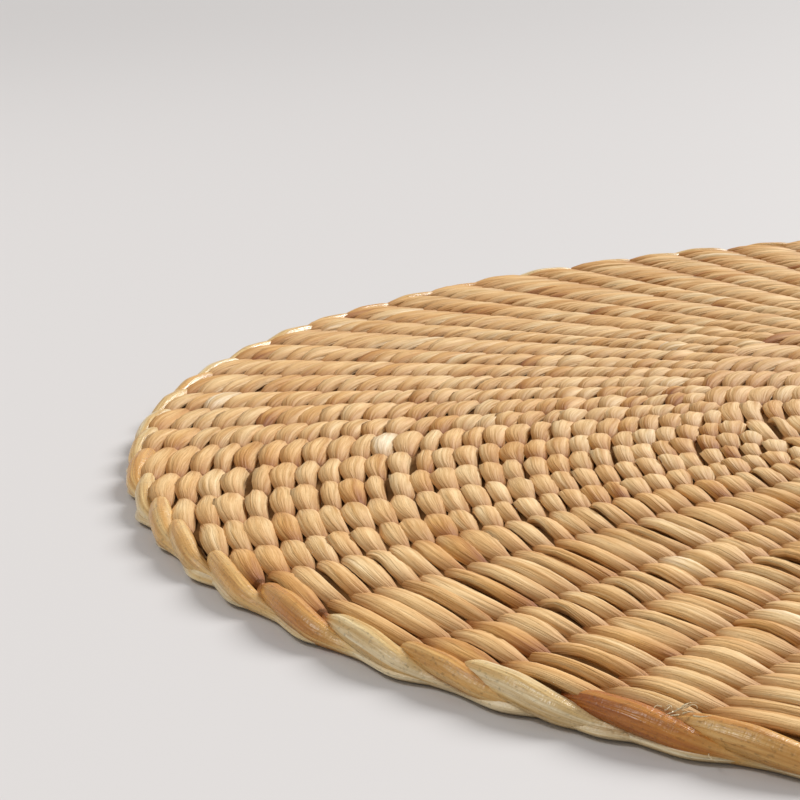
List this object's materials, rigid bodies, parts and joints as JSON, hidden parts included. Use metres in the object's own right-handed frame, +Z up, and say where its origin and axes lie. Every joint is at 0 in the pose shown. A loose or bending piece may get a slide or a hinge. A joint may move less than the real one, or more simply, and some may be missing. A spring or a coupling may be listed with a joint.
{
  "type": "round water hyacinth placemat",
  "caption": "Flat round placemat twined from dry water hyacinth: radial ribs over hidden spokes and a rope border of turned stems, to set a plate on.",
  "frame": {"origin": "centre of the underside, on the table", "axes": "+Z up out of the mat, +X and +Y in its plane"},
  "size_m": [0.38, 0.38, 0.005],
  "materials": {
    "hyacinth": "dry straw-coloured plant stems, matte with a faint sheen, glossier skin on the border stems"
  },
  "bodies": {
    "root": {"placemat": "hyacinth"}
  },
  "joints": []
}
